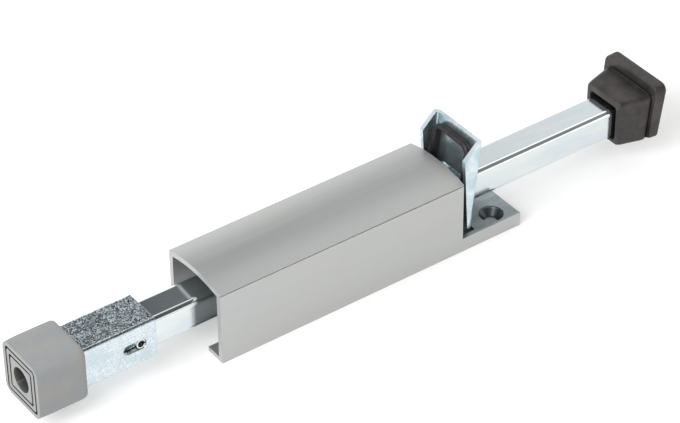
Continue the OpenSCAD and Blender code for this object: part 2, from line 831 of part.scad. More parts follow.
module foot_pad() {
    color(c_pad)
    difference() {
        square_bar(pad_x0, pad_x1, pad_w, pad_w, pad_r);
        square_bar(sleeve_x0 - fit_gap, pad_x1 + cut, sleeve_w + 2 * fit_gap,
            sleeve_w + 2 * fit_gap, sleeve_r + fit_gap);
        round_x(pad_x0 - cut, pad_x0 + well_depth, well_d);
        round_x(pad_x0, sleeve_x0 + cut, pad_screw_hole);
        tread_groove(tread_outer);
        tread_groove(tread_inner);
    }
}

module pad_washer() {
    color(c_zinc)
    difference() {
        round_x(washer_x0, washer_x1, washer_d);
        round_x(washer_x0 - cut, washer_x1 + cut, pad_screw_hole);
    }
}

module pad_screw() {
    head_x1 = washer_x0 - fit_gap;
    head_x0 = head_x1 - pad_head_t;
    color(c_zinc)
    difference() {
        union() {
            round_x(head_x0, head_x1, pad_head_d);
            round_x(head_x0, sleeve_floor + fit_gap + nut_t + screw_past_nut, pad_screw_d);
        }
        for (turn = [0, 90])
            translate([head_x0, 0, axis_h]) rotate([turn, 0, 0])
                cube([pad_head_t, drive_w, drive_l], center = true);
    }
}

module pad_nut() {
    nut_x0 = sleeve_floor + fit_gap;
    color(c_zinc)
    difference() {
        translate([nut_x0, 0, axis_h]) rotate([0, 90, 0])
            cylinder(h = nut_t, d = nut_w / cos(30), $fn = 6);
        round_x(nut_x0 - cut, nut_x0 + nut_t + cut, pad_screw_d + 2 * fit_gap);
    }
}

housing();
base_plate();
plate_screws();
lower_guide();
guide_screws();
upper_guide();
return_spring();
lever_spring();
lever();
plunger_tube();
spring_collar();
collar_pin();
bumper_ring();
cap_plug();
step_cap();
spring_seat();
cross_pin();
buffer_spring();
foot_sleeve();
foot_pad();
pad_washer();
pad_screw();
pad_nut();
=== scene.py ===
import math

import bpy
from mathutils import Matrix, Vector


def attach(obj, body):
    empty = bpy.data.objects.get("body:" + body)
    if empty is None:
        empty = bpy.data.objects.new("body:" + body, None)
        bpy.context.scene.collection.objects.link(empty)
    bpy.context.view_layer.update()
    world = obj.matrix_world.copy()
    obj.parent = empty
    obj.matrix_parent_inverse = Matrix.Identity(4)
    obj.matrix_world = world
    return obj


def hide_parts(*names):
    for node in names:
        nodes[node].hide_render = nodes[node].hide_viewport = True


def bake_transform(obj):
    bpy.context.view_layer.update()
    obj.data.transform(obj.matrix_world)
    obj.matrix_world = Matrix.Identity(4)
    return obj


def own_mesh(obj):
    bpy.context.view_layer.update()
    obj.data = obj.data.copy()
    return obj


# Looks of the foot operated door holder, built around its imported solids.
# Lengths are written in millimetres and turned to metres by MM. X runs along the plunger from the
# rubber foot to the step cap, Y across, and Z away from the door.
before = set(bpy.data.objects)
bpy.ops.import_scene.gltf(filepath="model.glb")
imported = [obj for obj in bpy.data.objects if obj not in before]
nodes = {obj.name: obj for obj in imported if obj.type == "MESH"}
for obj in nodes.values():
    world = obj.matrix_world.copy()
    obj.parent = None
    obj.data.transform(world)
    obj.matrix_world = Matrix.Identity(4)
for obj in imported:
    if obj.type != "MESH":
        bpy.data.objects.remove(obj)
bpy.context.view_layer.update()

MM = 0.001
AXIS_H = 20.3                    # height of the plunger's axis above the mounting face
HOLE_Y = 11.2                    # distance of the door screws from the middle of the plate
SINK_R = 5.3                     # radius of the countersinks in the screw plate
PLATE_SCREWS_X = -37.2           # place of the screws that hold the plate to the housing's lips
GUIDE_SCREWS_X = -111.2          # place of the lower guide's screws
PEGS_X = -24.5                   # place of the upper guide's pegs in the plate
NEAR = 0.01                      # places closer than this are the same
TOWARDS = 0.9                    # a face points along an axis when its normal has this much of it
EDGE_SMOOTH = math.radians(40)   # eased edges are shaded smooth below this angle
WIRE_SMOOTH = math.radians(50)   # round wire is shaded smooth below this angle

PIVOT = Vector((-15.41, 0, 4.3))       # the lever's axis
LEAN = math.radians(6.5)               # lean of the lever at rest
BOW_LEAN = math.radians(2)             # lean of the bow beyond the lever's
BOW_HEEL = Vector((-2.8, 0, 6.95))     # lower end of the bow's legs, from the pivot up the lever


# Modelling

def deselect():
    """Leaves no object selected."""
    bpy.ops.object.select_all(action="DESELECT")


def only(piece):
    """Makes one piece the selected and active one."""
    deselect()
    piece.select_set(True)
    bpy.context.view_layer.objects.active = piece
    return piece


def apply_place(piece):
    """Puts a piece's place, turn and scale into its mesh, so that its object sits at the origin."""
    only(piece)
    bpy.ops.object.transform_apply(location=True, rotation=True, scale=True)
    return piece


def apply_modifier(piece, kind, **settings):
    """Adds a modifier with its settings and applies it."""
    only(piece)
    modifier = piece.modifiers.new(kind.title(), kind)
    for name, value in settings.items():
        setattr(modifier, name, value)
    bpy.ops.object.modifier_apply(modifier=modifier.name)
    return piece


def ease_edges(piece, width, segments=2, angle=32):
    """Rounds every edge sharper than the angle, and keeps the flat faces flat in the shading."""
    apply_modifier(piece, "BEVEL", width=width * MM, segments=segments, limit_method="ANGLE",
                   angle_limit=math.radians(angle), use_clamp_overlap=True, miter_outer="MITER_ARC")
    only(piece)
    bpy.ops.object.shade_smooth_by_angle(angle=EDGE_SMOOTH)
    apply_modifier(piece, "WEIGHTED_NORMAL", keep_sharp=True)
    return piece


def eased_copy(node, width, segments=2, cuts=()):
    """A copy of a solid's mesh, merged and with its sharp edges eased as the real part's are.

    Cuts are pairs of an axis and a place in mm. Each goes through the middle of holes, so that no
    flat face is left with a hole in it.
    """
    merge, on_cut, flat = 0.002, 0.0001, math.radians(0.6)
    piece = bpy.data.objects.new(node + "_eased", nodes[node].data.copy())
    bpy.context.scene.collection.objects.link(piece)
    piece.data.materials.clear()
    only(piece)
    bpy.ops.object.mode_set(mode="EDIT")
    bpy.ops.mesh.select_all(action="SELECT")
    bpy.ops.mesh.remove_doubles(threshold=merge * MM)
    for axis, place in cuts:
        bpy.ops.mesh.select_all(action="SELECT")
        way = Vector([float(axis == name) for name in "XYZ"])
        bpy.ops.mesh.bisect(plane_co=way * place * MM, plane_no=way, threshold=on_cut * MM)
        bpy.ops.mesh.mark_seam()
    bpy.ops.mesh.select_all(action="SELECT")
    bpy.ops.mesh.dissolve_limited(angle_limit=flat, delimit={"SEAM"})
    bpy.ops.object.mode_set(mode="OBJECT")
    return ease_edges(piece, width, segments)


def put(piece, name, body, slot, material, *replaced):
    """Names a finished piece, gives it its material and lets it ride on its body."""
    piece.name = name
    piece.data.name = name
    piece.data.materials.clear()
    piece.data.materials.append(material)
    if body:
        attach(piece, body)
    if replaced:
        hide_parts(*replaced)
    return piece


def select_faces(piece, test):
    """Selects the faces whose centre and normal pass a test. The piece is in edit mode."""
    bpy.ops.mesh.select_all(action="DESELECT")
    bpy.ops.object.mode_set(mode="OBJECT")
    for polygon in piece.data.polygons:
        polygon.select = bool(test(polygon.center, polygon.normal))
    bpy.ops.object.mode_set(mode="EDIT")
    bpy.ops.mesh.select_mode(type="FACE")


def selected_span(piece):
    """Size and middle of the selected vertices, in mm."""
    bpy.ops.object.mode_set(mode="OBJECT")
    points = [v.co.copy() for v in piece.data.vertices if v.select]
    bpy.ops.object.mode_set(mode="EDIT")
    low = Vector([min(p[i] for p in points) for i in range(3)]) / MM
    high = Vector([max(p[i] for p in points) for i in range(3)]) / MM
    return high - low, (high + low) / 2


def pull(way):
    """Extrudes the selected face by a step in mm."""
    bpy.ops.mesh.extrude_region_move(TRANSFORM_OT_translate={"value": Vector(way) * MM})


def fit_face(piece, width, height, middle_z):
    """Brings the selected face to a width and height in mm, around a height."""
    size, middle = selected_span(piece)
    bpy.ops.transform.resize(value=(1, width / size.y, height / size.z),
                             center_override=middle * MM)
    bpy.ops.transform.translate(value=(0, 0, (middle_z - middle.z) * MM))


def turn_back(piece, degrees):
    """Leans the selected face back about its lower edge."""
    if not degrees:
        return
    size, middle = selected_span(piece)
    foot = Vector((middle.x - size.x / 2, 0, middle.z - size.z / 2)) * MM
    bpy.ops.transform.rotate(value=-math.radians(degrees), orient_axis="Y", center_override=foot)


def round_corners(piece, upper, lower):
    """Gives the selected face's two upper and two lower corners their radii in mm."""
    for radius, way in ((upper, 1), (lower, -1)):
        size, middle = selected_span(piece)
        half, edge_z = size.y / 2, middle.z + way * size.z / 2
        bpy.ops.object.mode_set(mode="OBJECT")
        mesh = piece.data
        ends = [p.index for p in mesh.polygons if p.select]
        ring = {v.index: (v.co.y / MM, abs(v.co.z / MM - edge_z))
                for v in mesh.vertices if v.select}
        now_y = half - max(abs(y) for y, rise in ring.values() if rise < NEAR)
        now_z = min(rise for y, rise in ring.values() if abs(y) > half - NEAR)
        for side in (-1, 1):
            for group in (mesh.vertices, mesh.edges, mesh.polygons):
                group.foreach_set("select", [False] * len(group))
            for index, (y, rise) in ring.items():
                mesh.vertices[index].select = side * y > half - now_y - NEAR and rise < now_z + NEAR
            bpy.ops.object.mode_set(mode="EDIT")
            bpy.ops.mesh.select_mode(type="VERT")
            bpy.ops.transform.resize(value=(1, radius / now_y, radius / now_z),
                                     center_override=Vector((middle.x, side * half, edge_z)) * MM)
            bpy.ops.object.mode_set(mode="OBJECT")
        for index in ends:
            mesh.polygons[index].select = True
        bpy.ops.object.mode_set(mode="EDIT")
        bpy.ops.mesh.select_mode(type="FACE")


def rounded_face(x, width, height, middle_z, radius, way):
    """Starts a piece as one upright face with rounded corners, facing down or up the plunger."""
    corner_steps, side_cuts = 6, 5
    deselect()
    bpy.ops.mesh.primitive_plane_add(size=1, location=(x * MM, 0, middle_z * MM),
                                     rotation=(0, math.radians(90 * way), 0))
    piece = bpy.context.object
    piece.scale = (height * MM, width * MM, 1)
    apply_place(piece)
    bpy.ops.object.mode_set(mode="EDIT")
    bpy.ops.mesh.select_all(action="SELECT")
    bpy.ops.mesh.bevel(offset=radius * MM, segments=corner_steps, affect="VERTICES")
    bpy.ops.mesh.select_mode(type="EDGE")
    bpy.ops.object.mode_set(mode="OBJECT")
    for edge in piece.data.edges:
        a, b = (piece.data.vertices[i].co for i in edge.vertices)
        edge.select = (a - b).length > 2 * radius * MM
    bpy.ops.object.mode_set(mode="EDIT")
    bpy.ops.mesh.subdivide(number_cuts=side_cuts)
    bpy.ops.mesh.select_mode(type="FACE")
    bpy.ops.mesh.select_all(action="SELECT")
    return piece


# Materials

def colour(hex_code):
    """An sRGB hex value as the linear colour that a shader takes."""
    channels = [int(hex_code[i:i + 2], 16) / 255 for i in (1, 3, 5)]
    linear = [c / 12.92 if c <= 0.04045 else ((c + 0.055) / 1.055) ** 2.4 for c in channels]
    return (*linear, 1.0)


def grains(size):
    """Scale of a pattern whose grains are about size mm across."""
    return 1 / (size * MM)


def long_grains(size, stretch):
    """Scales of a pattern whose grains are size mm across and drawn out along the plunger."""
    return grains(size) / stretch, grains(size), grains(size)


def add(tree, kind, inputs=(), stops=(), **settings):
    """Adds a node with its settings, and fills its live inputs in their order or by name.

    An input is a constant, a socket, or a node whose first live output is linked to it. In their
    order, a MapRange takes a value and the ranges that it comes from and goes to, and a Mix of
    colours takes the share of the second one and the two colours. Stops are the places and hex
    colours of a ramp.
    """
    node = tree.nodes.new("ShaderNode" + kind)
    for name, value in settings.items():
        setattr(node, name, value)
    if isinstance(inputs, dict):
        pairs = [(node.inputs[name], value) for name, value in inputs.items()]
    else:
        pairs = zip([socket for socket in node.inputs if socket.enabled], inputs)
    for socket, value in pairs:
        if isinstance(value, bpy.types.Node):
            value = next(output for output in value.outputs if output.enabled)
        if isinstance(value, bpy.types.NodeSocket):
            tree.links.new(value, socket)
        else:
            socket.default_value = value
    if stops:
        elements = node.color_ramp.elements
        while len(elements) < len(stops):
            elements.new(0.5)
        for element, (place, hex_code) in zip(elements, stops):
            element.position = place
            element.color = colour(hex_code)
    return node


def new_material(name):
    """An empty material; returns it and its tree."""
    material = bpy.data.materials.new(name)
    material.use_nodes = True
    material.node_tree.nodes.clear()
    return material, material.node_tree


def satin_aluminium():
    """Anodised aluminium extrusion, brushed satin: an even light grey with faint long die lines."""
    material, tree = new_material("satin anodised aluminium")
    place = add(tree, "TexCoord").outputs["Object"]
    # die lines, drawn half a millimetre wide because the real ones are too fine to show
    along = add(tree, "Mapping", {"Vector": place, "Scale": long_grains(0.55, 90)})
    lines = add(tree, "TexNoise", {"Vector": along, "Scale": 1, "Detail": 3})
    drift = add(tree, "Mapping", {"Vector": place, "Scale": long_grains(26, 3)})
    cloud = add(tree, "TexNoise", {"Vector": drift, "Scale": 1})
    # the etched tooth, also drawn coarser than it is
    tooth = add(tree, "TexNoise", {"Vector": place, "Scale": grains(0.35), "Detail": 1})
    share = add(tree, "MapRange", (lines, 0.3, 0.7, 0, 1))
    base = add(tree, "Mix", (share, colour("#b6b8b7"), colour("#bebfbc")), data_type="RGBA")
    share = add(tree, "MapRange", (cloud, 0.35, 0.65, 0, 0.35))
    base = add(tree, "Mix", (share, base, colour("#b7babd")), data_type="RGBA")
    height = add(tree, "Math", (lines, 0.5, tooth), operation="MULTIPLY_ADD")
    relief = add(tree, "Bump", {"Height": height, "Distance": 0.006 * MM})
    gloss = add(tree, "MapRange", (lines, 0.3, 0.7, 0.34, 0.42))
    shader = add(tree, "BsdfPrincipled", {"Base Color": base, "Metallic": 0.75, "Roughness": gloss,
                                          "Normal": relief})
    add(tree, "OutputMaterial", {"Surface": shader})
    return material


def zinc_plate(name, stretch, dull, bright, rough, metal):
    """Bright zinc plated steel: a bluish white metal with cloudy passivation and drawing lines."""
    material, tree = new_material(name)
    place = add(tree, "TexCoord").outputs["Object"]
    drift = add(tree, "Mapping", {"Vector": place, "Scale": long_grains(7, stretch)})
    cloud = add(tree, "TexNoise", {"Vector": drift, "Scale": 1, "Detail": 3, "Roughness": 0.55,
                                   "Distortion": 0.6})
    # drawing lines and specks, drawn coarser than the real ones so that they show
    along = add(tree, "Mapping", {"Vector": place, "Scale": long_grains(0.5, 60)})
    lines = add(tree, "TexNoise", {"Vector": along, "Scale": 1})
    speck = add(tree, "TexNoise", {"Vector": place, "Scale": grains(0.9)})
    share = add(tree, "MapRange", (cloud, 0.36, 0.64, 0, 1))
    base = add(tree, "Mix", (share, colour(dull), colour(bright)), data_type="RGBA")
    share = add(tree, "MapRange", (speck, 0.62, 0.75, 0, 0.12))
    base = add(tree, "Mix", (share, base, colour("#9fa9ae")), data_type="RGBA")
    height = add(tree, "Math", (lines, speck), operation="ADD")
    relief = add(tree, "Bump", {"Height": height, "Distance": 0.004 * MM})
    gloss = add(tree, "MapRange", (lines, 0.3, 0.7, rough - 0.07, rough - 0.03))
    gloss = add(tree, "Math", (cloud, 0.1, gloss), operation="MULTIPLY_ADD")
    shader = add(tree, "BsdfPrincipled", {"Base Color": base, "Metallic": metal, "Roughness": gloss,
                                          "Normal": relief})
    add(tree, "OutputMaterial", {"Surface": shader})
    return material


def galvanised_steel():
    """Galvanised steel sheet: zinc crystals under a millimetre across, each tilted its own way, so
    that they sparkle light and dark where the room is dark and melt together where it is bright."""
    material, tree = new_material("spangled galvanised steel")
    place = add(tree, "TexCoord").outputs["Object"]
    # about two crystals to a millimetre, with bent borders
    crystals_in_a_mm, bends_in_a_mm, bend_reach, tilt = 1.9, 0.9, 0.7, 0.09
    wander = add(tree, "TexNoise", {"Vector": place, "Scale": bends_in_a_mm / MM}).outputs["Color"]
    bent = add(tree, "VectorMath", (wander, (bend_reach * MM,) * 3, place),
               operation="MULTIPLY_ADD")
    crystals = add(tree, "TexVoronoi", {"Vector": bent, "Scale": crystals_in_a_mm / MM})
    crystal = crystals.outputs["Color"]
    shade = add(tree, "SeparateColor", (crystal,)).outputs
    drift = add(tree, "Mapping", {"Vector": place, "Scale": long_grains(6, 1.6)})
    cloud = add(tree, "TexNoise", {"Vector": drift, "Scale": 1})
    base = add(tree, "ValToRGB", (shade["Red"],), (
        (0.1, "#c2cdd2"), (0.5, "#cfd9de"), (0.9, "#dce6ea")))
    share = add(tree, "MapRange", (cloud, 0.4, 0.62, 0, 0.6))
    base = add(tree, "Mix", (share, base, colour("#bccad2")), data_type="RGBA")
    # the lean of each crystal, which fades on the rounded corners
    lean = add(tree, "VectorMath", (crystal, (2 * tilt,) * 3, (-tilt,) * 3),
               operation="MULTIPLY_ADD")
    facing = add(tree, "NewGeometry").outputs["Normal"]
    sides = add(tree, "VectorMath", (facing,), operation="ABSOLUTE")
    sides = add(tree, "SeparateXYZ", (sides,)).outputs
    flat = add(tree, "Math", (sides["Y"], sides["Z"]), operation="MAXIMUM")
    flat = add(tree, "Math", (sides["X"], flat), operation="MAXIMUM")
    flat = add(tree, "MapRange", (flat, 0.9, 0.985, 0.1, 1))
    lean = add(tree, "VectorMath", (lean, flat), operation="SCALE")
    tilted = add(tree, "VectorMath", (facing, lean), operation="ADD")
    tilted = add(tree, "VectorMath", (tilted,), operation="NORMALIZE")
    gloss = add(tree, "MapRange", (shade["Green"], 0, 1, 0.14, 0.3))
    shader = add(tree, "BsdfPrincipled", {"Base Color": base, "Metallic": 1, "Roughness": gloss,
                                          "Normal": tilted})
    add(tree, "OutputMaterial", {"Surface": shader})
    return material


def moulded_rubber(name, dark, light, painted_shade, rough, dust):
    """Moulded rubber: matt, with the mould's fine grain, a little dust and painted shade in narrow
    places.
    """
    material, tree = new_material(name)
    place = add(tree, "TexCoord").outputs["Object"]
    cloud = add(tree, "TexNoise", {"Vector": place, "Scale": grains(9), "Detail": 3,
                                   "Roughness": 0.6})
    # the mould's grain, drawn coarser than it is so that it shows
    tooth = add(tree, "TexNoise", {"Vector": place, "Scale": grains(0.3)})
    along = add(tree, "Mapping", {"Vector": place, "Scale": long_grains(1.6, 3)})
    scuff = add(tree, "TexNoise", {"Vector": along, "Scale": 1, "Detail": 4, "Roughness": 0.7,
                                   "Distortion": 0.8})
    share = add(tree, "MapRange", (cloud, 0.35, 0.65, 0, 1))
    base = add(tree, "Mix", (share, colour(dark), colour(light)), data_type="RGBA")
    share = add(tree, "MapRange", (scuff, 0.62, 0.78, 0, dust))
    base = add(tree, "Mix", (share, base, colour("#b9b8b4")), data_type="RGBA")
    # grooves, creases, the foot's well and the cap's mouth see little light, and get a painted
    # shade where ambient occlusion finds them closed in
    open_air = add(tree, "AmbientOcclusion", {"Distance": 12 * MM}, samples=8, only_local=True)
    share = add(tree, "MapRange", (open_air.outputs["AO"], 0.4, 0.8, 0, 1))
    base = add(tree, "Mix", (share, colour(painted_shade), base), data_type="RGBA")
    height = add(tree, "Math", (cloud, 1.5, tooth), operation="MULTIPLY_ADD")
    relief = add(tree, "Bump", {"Height": height, "Distance": 0.02 * MM})
    gloss = add(tree, "MapRange", (cloud, 0.3, 0.7, rough - 0.05, rough + 0.05))
    shader = add(tree, "BsdfPrincipled", {"Base Color": base, "Metallic": 0, "Roughness": gloss,
                                          "IOR": 1.5, "Specular IOR Level": 0.4, "Normal": relief})
    add(tree, "OutputMaterial", {"Surface": shader})
    return material


def dull_zinc():
    """Pressed steel plate in dull zinc: darker than the plunger, with rolling lines and stains. The
    two countersinks are painted darker."""
    material, tree = new_material("dull zinc plated plate")
    place = add(tree, "TexCoord").outputs["Object"]
    along = add(tree, "Mapping", {"Vector": place, "Scale": long_grains(0.6, 40)})
    lines = add(tree, "TexNoise", {"Vector": along, "Scale": 1, "Detail": 3})
    drift = add(tree, "Mapping", {"Vector": place, "Scale": long_grains(5, 1.5)})
    stain = add(tree, "TexNoise", {"Vector": drift, "Scale": 1, "Detail": 3, "Roughness": 0.6,
                                   "Distortion": 0.5})
    share = add(tree, "MapRange", (stain, 0.35, 0.68, 0, 1))
    base = add(tree, "Mix", (share, colour("#a3acaf"), colour("#c6ced0")), data_type="RGBA")
    share = add(tree, "MapRange", (lines, 0.35, 0.7, 0, 0.4))
    base = add(tree, "Mix", (share, base, colour("#a9b2b5")), data_type="RGBA")
    # distance from the axis of the nearer door screw
    spot = add(tree, "SeparateXYZ", (place,)).outputs
    aside = add(tree, "Math", (spot["Y"],), operation="ABSOLUTE")
    aside = add(tree, "Math", (aside, HOLE_Y * MM), operation="SUBTRACT")
    away = add(tree, "CombineXYZ", (spot["X"], aside))
    away = add(tree, "VectorMath", (away,), operation="LENGTH")
    # inside the countersinks the plate is painted darker
    rim = 0.1
    share = add(tree, "MapRange", (away, (SINK_R - rim) * MM, (SINK_R + rim) * MM, 1, 0))
    base = add(tree, "Mix", (share, base, colour("#5d6264")), data_type="RGBA")
    relief = add(tree, "Bump", {"Height": lines, "Distance": 0.005 * MM})
    gloss = add(tree, "MapRange", (stain, 0.3, 0.7, 0.3, 0.42))
    shader = add(tree, "BsdfPrincipled", {"Base Color": base, "Metallic": 1, "Roughness": gloss,
                                          "Normal": relief})
    add(tree, "OutputMaterial", {"Surface": shader})
    return material


def black_wire():
    """Blackened spring wire: nearly black, with a brownish bloom and a dull shine."""
    material, tree = new_material("blackened spring wire")
    place = add(tree, "TexCoord").outputs["Object"]
    bloom = add(tree, "TexNoise", {"Vector": place, "Scale": grains(2.5), "Detail": 3,
                                   "Roughness": 0.6})
    tooth = add(tree, "TexNoise", {"Vector": place, "Scale": grains(0.4)})
    share = add(tree, "MapRange", (bloom, 0.35, 0.7, 0, 1))
    base = add(tree, "Mix", (share, colour("#221f21"), colour("#3b3536")), data_type="RGBA")
    relief = add(tree, "Bump", {"Height": tooth, "Distance": 0.006 * MM})
    gloss = add(tree, "MapRange", (bloom, 0.3, 0.7, 0.36, 0.5))
    shader = add(tree, "BsdfPrincipled", {"Base Color": base, "Metallic": 0.35, "Roughness": gloss,
                                          "Normal": relief})
    add(tree, "OutputMaterial", {"Surface": shader})
    return material


def spring_wire():
    """Drawn spring wire: grey steel with fine rings of drawing marks and a film of oil."""
    material, tree = new_material("drawn spring wire")
    place = add(tree, "TexCoord").outputs["Object"]
    marks = add(tree, "TexNoise", {"Vector": place, "Scale": grains(0.5), "Detail": 3})
    share = add(tree, "MapRange", (marks, 0.35, 0.65, 0, 1))
    base = add(tree, "Mix", (share, colour("#83898d"), colour("#a7adb0")), data_type="RGBA")
    relief = add(tree, "Bump", {"Height": marks, "Distance": 0.004 * MM})
    gloss = add(tree, "MapRange", (marks, 0.3, 0.7, 0.24, 0.36))
    shader = add(tree, "BsdfPrincipled", {"Base Color": base, "Metallic": 1, "Roughness": gloss,
                                          "Normal": relief})
    add(tree, "OutputMaterial", {"Surface": shader})
    return material


def moulded_nylon():
    """Moulded nylon: dark grey, waxy, with a faint mould grain."""
    material, tree = new_material("dark moulded nylon")
    place = add(tree, "TexCoord").outputs["Object"]
    cloud = add(tree, "TexNoise", {"Vector": place, "Scale": grains(4)})
    tooth = add(tree, "TexNoise", {"Vector": place, "Scale": grains(0.35)})
    share = add(tree, "MapRange", (cloud, 0.35, 0.65, 0, 1))
    base = add(tree, "Mix", (share, colour("#2b2d2f"), colour("#37393b")), data_type="RGBA")
    relief = add(tree, "Bump", {"Height": tooth, "Distance": 0.01 * MM})
    gloss = add(tree, "MapRange", (cloud, 0.3, 0.7, 0.38, 0.48))
    shader = add(tree, "BsdfPrincipled", {"Base Color": base, "Metallic": 0, "Roughness": gloss,
                                          "IOR": 1.53, "Normal": relief})
    add(tree, "OutputMaterial", {"Surface": shader})
    return material


aluminium = satin_aluminium()
zinc_tube = zinc_plate("bright zinc plated tube", stretch=4, dull="#d3dce1", bright="#dfe4e2",
                       rough=0.14, metal=1)
zinc_sheet = zinc_plate("bright zinc plated sheet", stretch=1, dull="#bccfd8", bright="#dce7eb",
                        rough=0.24, metal=0.9)
zinc_small = zinc_plate("zinc plated small parts", stretch=1, dull="#cdd4d6", bright="#dde0dc",
                        rough=0.3, metal=1)
galvanised = galvanised_steel()
# the third colour of each rubber is its painted shade in narrow places
grey_rubber = moulded_rubber("grey moulded rubber", dark="#94989b", light="#9d9d99", painted_shade="#3a3a38",
                             rough=0.6, dust=0.12)
black_rubber = moulded_rubber("charcoal moulded rubber", dark="#2c2928", light="#464140",
                              painted_shade="#151313", rough=0.4, dust=0.2)
plate_zinc = dull_zinc()
bow_finish = black_wire()
spring_finish = spring_wire()
nylon = moulded_nylon()


# Pieces

def rubber_foot():
    """The rubber foot: a soft block with a rounded back, two square grooves and a round well."""
    back, back_side, back_corner = -198.8, 22.8, 3.3
    socket_side, socket_depth, socket_ease = 19.5, 12, 0.2
    well_d, well_depth = 11, 8
    # from the back to the face: a step down the plunger and half the side
    block = ((0.3, 12.0), (0.3, 12.4), (0.9, 12.7), (1.5, 12.8), (4.5, 12.8), (5.0, 12.8),
             (5.0, 12.8), (4.8, 12.8))
    # the two grooves and the land around the well: a step into the face and half the side
    grooves = ((0, 10.8), (1.4, 10.75), (0, 9.9), (-1.4, 9.85),
               (0, 8.25), (1.4, 8.2), (0, 7.35), (-1.4, 7.3), (0, 6.2))
    piece = rounded_face(back, back_side, back_side, AXIS_H, back_corner, way=-1)
    for step, half in block:
        pull((-step, 0, 0))
        fit_face(piece, 2 * half, 2 * half, AXIS_H)
    round_corners(piece, upper=4.4, lower=4.2)
    for inward, half in grooves:
        pull((inward, 0, 0))
        fit_face(piece, 2 * half, 2 * half, AXIS_H)
        if half == grooves[0][1]:
            round_corners(piece, upper=1.6, lower=1.3)
    bpy.ops.transform.tosphere(value=1.0)
    fit_face(piece, well_d, well_d, AXIS_H)
    pull((well_depth, 0, 0))
    # the square socket that takes the sleeve
    select_faces(piece, lambda c, n: n.x > TOWARDS and c.x > (back - socket_ease) * MM)
    bpy.ops.mesh.inset(thickness=socket_ease * MM)
    fit_face(piece, socket_side, socket_side, AXIS_H)
    pull((-socket_depth, 0, 0))
    bpy.ops.object.mode_set(mode="OBJECT")
    return ease_edges(piece, width=0.16, angle=50)


def step_cap():
    """The step cap: a rubber socket that flares to a thick leaning flange, parted by a crease."""
    mouth, low, tread_ease = 69.3, 10.15, 0.5
    # rings from the mouth to the tread: a step up the plunger, width, height, lower edge and lean
    body = ((0.3, 21.6, 21.8, 10.5, 0), (0.5, 22.1, 22.2, 10.3, 0), (0.8, 22.7, 22.4, 10.2, 0),
            (1.0, 23.3, 22.6, low, 0), (4.4, 26.2, 23.0, low, 3.3), (4.2, 28.9, 23.2, low, 3.3),
            (0.5, 29.0, 23.2, 10.3, 0), (0.15, 28.2, 22.4, 10.7, 0), (0.4, 28.2, 22.4, 10.7, 0))
    flange = ((0.05, 32.9, 24.3, 13.0, 0), (0.2, 33.5, 24.9, 12.75, 0), (0.4, 33.8, 25.2, 12.6, 0),
              (3.0, 34.7, 25.2, 12.6, 2.7), (0.5, 34.5, 25.0, 12.7, 0), (0.4, 34.0, 24.5, 12.95, 0),
              (0.2, 33.2, 23.7, 13.35, 0))
    # the socket, which narrows to the tube behind the mouth: a step up, width, height and middle
    socket = ((0, 17.0, 17.3, 20.8), (3.5, 17.0, 17.3, 20.8), (0, 14.6, 14.6, AXIS_H),
              (9.6, 14.6, 14.6, AXIS_H))
    piece = rounded_face(mouth, width=20.8, height=21.2, middle_z=21.4, radius=2.1, way=1)
    for rings in (body, flange):
        for step, width, height, lower, lean in rings:
            pull((step, 0, 0))
            fit_face(piece, width, height, lower + height / 2)
            if width == flange[0][1]:
                size = selected_span(piece)[0]
                leaning = math.degrees(math.atan2(size.x, size.z))
                turn_back(piece, -leaning)
                round_corners(piece, upper=3.2, lower=1.2)
                turn_back(piece, leaning)
            turn_back(piece, lean)
    bpy.ops.mesh.inset(thickness=tread_ease * MM)
    select_faces(piece, lambda c, n: n.x < -TOWARDS and c.x < (mouth + NEAR) * MM)
    for inward, width, height, middle_z in socket:
        pull((inward, 0, 0))
        fit_face(piece, width, height, middle_z)
    bpy.ops.object.mode_set(mode="OBJECT")
    return ease_edges(piece, width=0.25, angle=50)


def coil(x0, x1, radius, wire, turns):
    """A coil spring along the plunger between two places, with a closed turn at each end."""
    wire_sides, steps_in_a_turn, closed, merge = 12, 28, wire + 0.5, 0.01
    parts = []
    stretches = ((x0, closed, 1), (x0 + closed, x1 - x0 - 2 * closed, turns),
                 (x1 - closed, closed, 1))
    for start, length, count in stretches:
        deselect()
        bpy.ops.mesh.primitive_circle_add(vertices=wire_sides, radius=wire / 2 * MM,
                                          location=(start * MM, 0, AXIS_H * MM),
                                          rotation=(math.radians(90), 0, 0))
        part = bpy.context.object
        bpy.ops.object.transform_apply(location=False, rotation=True, scale=False)
        bpy.ops.object.mode_set(mode="EDIT")
        bpy.ops.mesh.select_all(action="SELECT")
        bpy.ops.transform.translate(value=(0, 0, radius * MM))
        bpy.ops.object.mode_set(mode="OBJECT")
        apply_modifier(part, "SCREW", axis="X", screw_offset=length / count * MM,
                       iterations=count, steps=steps_in_a_turn, render_steps=steps_in_a_turn,
                       use_merge_vertices=False)
        parts.append(apply_place(part))
    deselect()
    for part in parts:
        part.select_set(True)
    bpy.context.view_layer.objects.active = parts[0]
    bpy.ops.object.join()
    piece = bpy.context.object
    bpy.ops.object.mode_set(mode="EDIT")
    bpy.ops.mesh.select_all(action="SELECT")
    bpy.ops.mesh.remove_doubles(threshold=merge * MM)
    bpy.ops.mesh.fill_holes(sides=0)
    bpy.ops.mesh.select_all(action="SELECT")
    bpy.ops.mesh.normals_make_consistent(inside=False)
    bpy.ops.object.mode_set(mode="OBJECT")
    bpy.ops.object.shade_smooth_by_angle(angle=WIRE_SMOOTH)
    return piece


